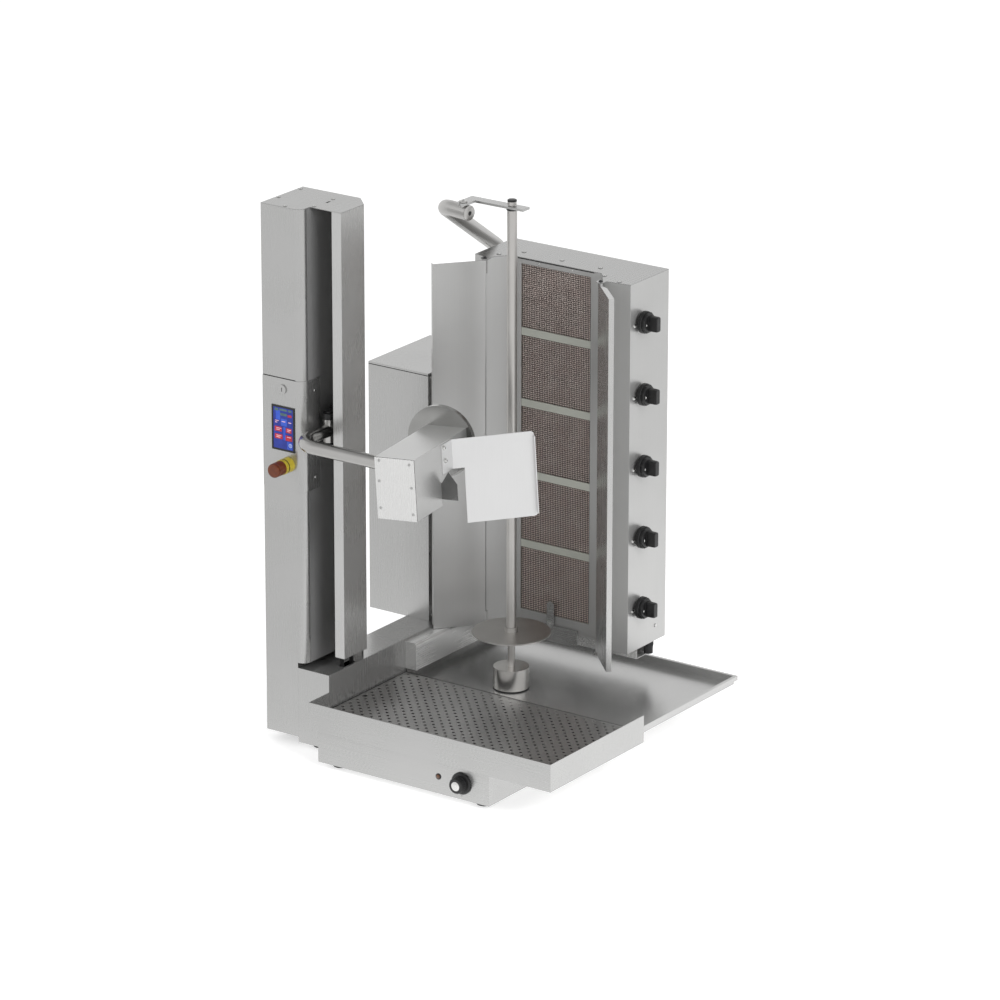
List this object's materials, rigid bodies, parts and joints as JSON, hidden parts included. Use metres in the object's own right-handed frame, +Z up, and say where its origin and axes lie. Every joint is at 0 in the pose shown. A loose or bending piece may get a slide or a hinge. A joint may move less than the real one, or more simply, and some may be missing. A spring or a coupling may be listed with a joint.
{
  "type": "doner kebab grill",
  "caption": "Upright gas doner grill: spit on a driven cup, burner cabinet with swinging wings, lift tower with a swinging slicer arm, drip tray and rear pan.",
  "frame": {"origin": "middle of the object's footprint, on the surface that its rubber feet stand on", "axes": "+Z up, +X to the right seen from the front, +Y to the back; the burner cabinet faces -Y"},
  "size_m": [0.827, 0.7684, 1.2358],
  "materials": {
    "stainless": "satin brushed",
    "dark_panel": "satin black",
    "black_plastic": "glossy",
    "knob_plastic": "satin moulded",
    "screen": "glossy",
    "yellow_plastic": "satin moulded",
    "red_plastic": "satin moulded",
    "bright_metal": "polished",
    "belt_rubber": "matt",
    "rubber_feet": "matt",
    "motor_metal": "cast",
    "motor_black": "satin",
    "guard_white": "bright satin",
    "burner_steel": "heat-toned",
    "burner_mesh": "dark woven wire",
    "ceramic": "porous ceramic",
    "brass": "satin",
    "rod_steel": "polished",
    "amber_lens": "translucent",
    "element_metal": "oxidised"
  },
  "bodies": {
    "frame": {"base_box": "stainless", "base_feet": "rubber_feet", "side_rail": "stainless", "tower_shell": "stainless", "tower_side_panel": "dark_panel", "tower_cap": "stainless", "slide_guard": "stainless", "control_panel": "stainless", "screen_bezel": "black_plastic", "screen_glass": "screen", "estop_collar": "yellow_plastic", "mast": "stainless", "guide_rail": "stainless", "lift_belt": "belt_rubber", "lift_motor": "motor_black", "rear_pan": "stainless", "slide_beams": "stainless", "support_arm": "stainless", "spit_motor": "motor_metal", "rear_box": "stainless", "pilot_lamp": "amber_lens", "heating_element": "element_metal", "casing_screws": "bright_metal"},
    "carriage": {"carriage": "stainless", "arm_pivot_pin": "bright_metal"},
    "top_pulley": {"top_pulley": "motor_metal"},
    "drive_pulley": {"drive_pulley": "motor_metal"},
    "arm": {"arm_tube": "stainless"},
    "head": {"head_housing": "stainless", "head_cover": "stainless", "blade_motor": "motor_metal", "blade_guard": "stainless", "guard_plate": "guard_white", "slice_chute": "stainless"},
    "blade": {"blade_shaft": "bright_metal", "round_blade": "bright_metal"},
    "estop": {"estop_button": "red_plastic"},
    "key": {"key_lock": "bright_metal"},
    "tray": {"drip_tray": "stainless"},
    "plate": {"drip_plate": "stainless"},
    "cabinet": {"cabinet_shell": "stainless", "cabinet_top": "stainless", "burner_frame": "burner_steel", "burner_meshes": "burner_mesh", "burner_plaques": "ceramic", "burner_boxes": "burner_steel", "gas_manifold": "brass", "gas_inlet": "motor_black"},
    "left_wing": {"left_wing": "stainless"},
    "right_wing": {"right_wing": "stainless"},
    "slide_lock": {"slide_lock": "stainless"},
    "latch": {"top_latch": "stainless"},
    "spit": {"spit": "rod_steel", "drive_cup": "stainless"},
    "thermostat": {"thermostat_knob": "black_plastic"},
    "gas_knob_1": {"gas_knob_1": "knob_plastic"},
    "gas_knob_2": {"gas_knob_2": "knob_plastic"},
    "gas_knob_3": {"gas_knob_3": "knob_plastic"},
    "gas_knob_4": {"gas_knob_4": "knob_plastic"},
    "gas_knob_5": {"gas_knob_5": "knob_plastic"}
  },
  "joints": [
    {"name": "arm_lift", "type": "slide", "parent": "frame", "child": "carriage", "axis": [0, 0, 1], "range_m": [-0.27, 0.33]},
    {"name": "top_pulley_spin", "type": "hinge", "parent": "frame", "child": "top_pulley", "pos_m": [-0.2415, -0.20525, 1.182], "axis": [1, 0, 0], "range_deg": [-1000, 1200]},
    {"name": "drive_pulley_spin", "type": "hinge", "parent": "frame", "child": "drive_pulley", "pos_m": [-0.2415, -0.20525, 0.138], "axis": [1, 0, 0], "range_deg": [-1000, 1200]},
    {"name": "arm_swing", "type": "hinge", "parent": "carriage", "child": "arm", "pos_m": [-0.2655, -0.22925, 0.73], "axis": [0, 0, 1], "range_deg": [-8, 15]},
    {"name": "head_tilt", "type": "hinge", "parent": "arm", "child": "head", "pos_m": [-0.0155, -0.34925, 0.73], "axis": [1, 0, 0], "range_deg": [-8, 8]},
    {"name": "blade_spin", "type": "hinge", "parent": "head", "child": "blade", "pos_m": [-0.04287, -0.12261, 0.7179], "axis": [-0.1444, 0.9895, 0], "continuous": true},
    {"name": "spit_spin", "type": "hinge", "parent": "frame", "child": "spit", "pos_m": [0.0045, 0.07475, 0.124], "axis": [0, 0, 1], "continuous": true},
    {"name": "cabinet_slide", "type": "slide", "parent": "frame", "child": "cabinet", "axis": [0, 1, 0], "range_m": [-0.02, 0.03]},
    {"name": "left_wing_swing", "type": "hinge", "parent": "cabinet", "child": "left_wing", "pos_m": [-0.1475, 0.18875, 0.612], "axis": [0, 0, 1], "range_deg": [0, 55]},
    {"name": "right_wing_swing", "type": "hinge", "parent": "cabinet", "child": "right_wing", "pos_m": [0.1595, 0.18875, 0.612], "axis": [0, 0, 1], "range_deg": [-60, 3]},
    {"name": "slide_lock_turn", "type": "hinge", "parent": "cabinet", "child": "slide_lock", "pos_m": [-0.002, 0.23675, 0.197], "axis": [0, 1, 0], "range_deg": [-12, 12]},
    {"name": "gas_knob_1_turn", "type": "hinge", "parent": "cabinet", "child": "gas_knob_1", "pos_m": [0.2325, 0.24375, 0.944], "axis": [1, 0, 0], "range_deg": [0, 180]},
    {"name": "gas_knob_2_turn", "type": "hinge", "parent": "cabinet", "child": "gas_knob_2", "pos_m": [0.2325, 0.24375, 0.779], "axis": [1, 0, 0], "range_deg": [0, 180]},
    {"name": "gas_knob_3_turn", "type": "hinge", "parent": "cabinet", "child": "gas_knob_3", "pos_m": [0.2325, 0.24375, 0.614], "axis": [1, 0, 0], "range_deg": [0, 180]},
    {"name": "gas_knob_4_turn", "type": "hinge", "parent": "cabinet", "child": "gas_knob_4", "pos_m": [0.2325, 0.24375, 0.449], "axis": [1, 0, 0], "range_deg": [0, 180]},
    {"name": "gas_knob_5_turn", "type": "hinge", "parent": "cabinet", "child": "gas_knob_5", "pos_m": [0.2325, 0.24375, 0.284], "axis": [1, 0, 0], "range_deg": [0, 180]},
    {"name": "thermostat_turn", "type": "hinge", "parent": "frame", "child": "thermostat", "pos_m": [0.178, -0.36725, 0.05], "axis": [0, 1, 0], "range_deg": [0, 270]},
    {"name": "estop_press", "type": "slide", "parent": "frame", "child": "estop", "axis": [0, 1, 0], "range_m": [0, 0.004], "stiffness_N_per_m": 1000},
    {"name": "key_turn", "type": "hinge", "parent": "frame", "child": "key", "pos_m": [-0.3455, -0.28925, 0.823], "axis": [0, 1, 0], "range_deg": [0, 90]},
    {"name": "tray_slide", "type": "slide", "parent": "frame", "child": "tray", "axis": [0, -1, 0], "range_m": [0, 0.3]},
    {"name": "plate_lift", "type": "slide", "parent": "tray", "child": "plate", "axis": [0, 0, 1], "range_m": [0, 0.03]},
    {"name": "latch_swing", "type": "hinge", "parent": "frame", "child": "latch", "pos_m": [-0.0975, 0.03575, 1.2055], "axis": [0, 0, 1], "range_deg": [-60, 0]}
  ],
  "couplings": [
    {"joint": "top_pulley_spin", "follows": "arm_lift", "rad_per_m": 62.5},
    {"joint": "drive_pulley_spin", "follows": "arm_lift", "rad_per_m": 62.5}
  ]
}
